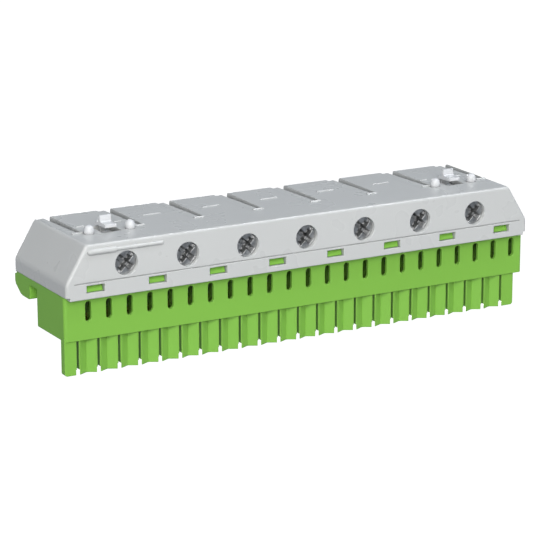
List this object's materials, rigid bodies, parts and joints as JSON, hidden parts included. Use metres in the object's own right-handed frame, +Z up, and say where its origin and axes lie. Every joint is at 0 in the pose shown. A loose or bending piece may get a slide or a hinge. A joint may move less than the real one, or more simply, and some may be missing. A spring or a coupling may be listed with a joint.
{
  "type": "earth terminal bar",
  "caption": "Protective-earth terminal bar: grey cover with clamp screws over a green base with push-in release slots, a fluted comb in front and a rail hook behind.",
  "frame": {"origin": "middle of the rail groove's ceiling: half way along the bar, midway between the terminal box and the hook rail, on the face that rests on the carrier's edge", "axes": "+X along the bar with the strip-length gauge at the -X end, +Y from the screw side to the back, +Z up, away from the conductor ports"},
  "size_m": [0.1262, 0.0295, 0.0342],
  "materials": {
    "cover": "light grey moulded plastic, satin",
    "base": "yellow-green moulded plastic, satin",
    "clip": "white moulded plastic, slightly glossy",
    "brass": "drawn brass, satin",
    "screw": "dark zinc-plated steel",
    "pad": "zinc-plated steel",
    "spring": "bright stainless spring steel"
  },
  "bodies": {
    "root": {"cover": "cover", "base_housing": "base", "earth_bar": "brass", "clip_left": "clip", "clip_right": "clip", "push_in_spring_01": "spring", "push_in_spring_02": "spring", "push_in_spring_03": "spring", "push_in_spring_04": "spring", "push_in_spring_05": "spring", "push_in_spring_06": "spring", "push_in_spring_07": "spring", "push_in_spring_08": "spring", "push_in_spring_09": "spring", "push_in_spring_10": "spring", "push_in_spring_11": "spring", "push_in_spring_12": "spring", "push_in_spring_13": "spring", "push_in_spring_14": "spring", "push_in_spring_15": "spring", "push_in_spring_16": "spring", "push_in_spring_17": "spring", "push_in_spring_18": "spring", "push_in_spring_19": "spring", "push_in_spring_20": "spring", "push_in_spring_21": "spring", "push_in_spring_22": "spring", "push_in_spring_23": "spring"},
    "pad_1": {"pressure_pad_1": "pad"},
    "screw_1": {"clamp_screw_1": "screw"},
    "pad_2": {"pressure_pad_2": "pad"},
    "screw_2": {"clamp_screw_2": "screw"},
    "pad_3": {"pressure_pad_3": "pad"},
    "screw_3": {"clamp_screw_3": "screw"},
    "pad_4": {"pressure_pad_4": "pad"},
    "screw_4": {"clamp_screw_4": "screw"},
    "pad_5": {"pressure_pad_5": "pad"},
    "screw_5": {"clamp_screw_5": "screw"},
    "pad_6": {"pressure_pad_6": "pad"},
    "screw_6": {"clamp_screw_6": "screw"},
    "pad_7": {"pressure_pad_7": "pad"},
    "screw_7": {"clamp_screw_7": "screw"}
  },
  "joints": [
    {"name": "pad_travel_1", "type": "slide", "parent": "root", "child": "pad_1", "axis": [0, 1, 0], "range_m": [0, 0.0036]},
    {"name": "screw_turn_1", "type": "hinge", "parent": "pad_1", "child": "screw_1", "pos_m": [-0.0477, -0.01493, 0.0082], "axis": [0, 1, 0], "range_deg": [0, 1620]},
    {"name": "pad_travel_2", "type": "slide", "parent": "root", "child": "pad_2", "axis": [0, 1, 0], "range_m": [0, 0.0036]},
    {"name": "screw_turn_2", "type": "hinge", "parent": "pad_2", "child": "screw_2", "pos_m": [-0.0318, -0.01493, 0.0082], "axis": [0, 1, 0], "range_deg": [0, 1620]},
    {"name": "pad_travel_3", "type": "slide", "parent": "root", "child": "pad_3", "axis": [0, 1, 0], "range_m": [0, 0.0036]},
    {"name": "screw_turn_3", "type": "hinge", "parent": "pad_3", "child": "screw_3", "pos_m": [-0.0159, -0.01493, 0.0082], "axis": [0, 1, 0], "range_deg": [0, 1620]},
    {"name": "pad_travel_4", "type": "slide", "parent": "root", "child": "pad_4", "axis": [0, 1, 0], "range_m": [0, 0.0036]},
    {"name": "screw_turn_4", "type": "hinge", "parent": "pad_4", "child": "screw_4", "pos_m": [0, -0.01493, 0.0082], "axis": [0, 1, 0], "range_deg": [0, 1620]},
    {"name": "pad_travel_5", "type": "slide", "parent": "root", "child": "pad_5", "axis": [0, 1, 0], "range_m": [0, 0.0036]},
    {"name": "screw_turn_5", "type": "hinge", "parent": "pad_5", "child": "screw_5", "pos_m": [0.0159, -0.01493, 0.0082], "axis": [0, 1, 0], "range_deg": [0, 1620]},
    {"name": "pad_travel_6", "type": "slide", "parent": "root", "child": "pad_6", "axis": [0, 1, 0], "range_m": [0, 0.0036]},
    {"name": "screw_turn_6", "type": "hinge", "parent": "pad_6", "child": "screw_6", "pos_m": [0.0318, -0.01493, 0.0082], "axis": [0, 1, 0], "range_deg": [0, 1620]},
    {"name": "pad_travel_7", "type": "slide", "parent": "root", "child": "pad_7", "axis": [0, 1, 0], "range_m": [0, 0.0036]},
    {"name": "screw_turn_7", "type": "hinge", "parent": "pad_7", "child": "screw_7", "pos_m": [0.0477, -0.01493, 0.0082], "axis": [0, 1, 0], "range_deg": [0, 1620]}
  ],
  "couplings": [
    {"joint": "screw_turn_1", "follows": "pad_travel_1", "rad_per_m": 7854},
    {"joint": "screw_turn_2", "follows": "pad_travel_2", "rad_per_m": 7854},
    {"joint": "screw_turn_3", "follows": "pad_travel_3", "rad_per_m": 7854},
    {"joint": "screw_turn_4", "follows": "pad_travel_4", "rad_per_m": 7854},
    {"joint": "screw_turn_5", "follows": "pad_travel_5", "rad_per_m": 7854},
    {"joint": "screw_turn_6", "follows": "pad_travel_6", "rad_per_m": 7854},
    {"joint": "screw_turn_7", "follows": "pad_travel_7", "rad_per_m": 7854}
  ]
}
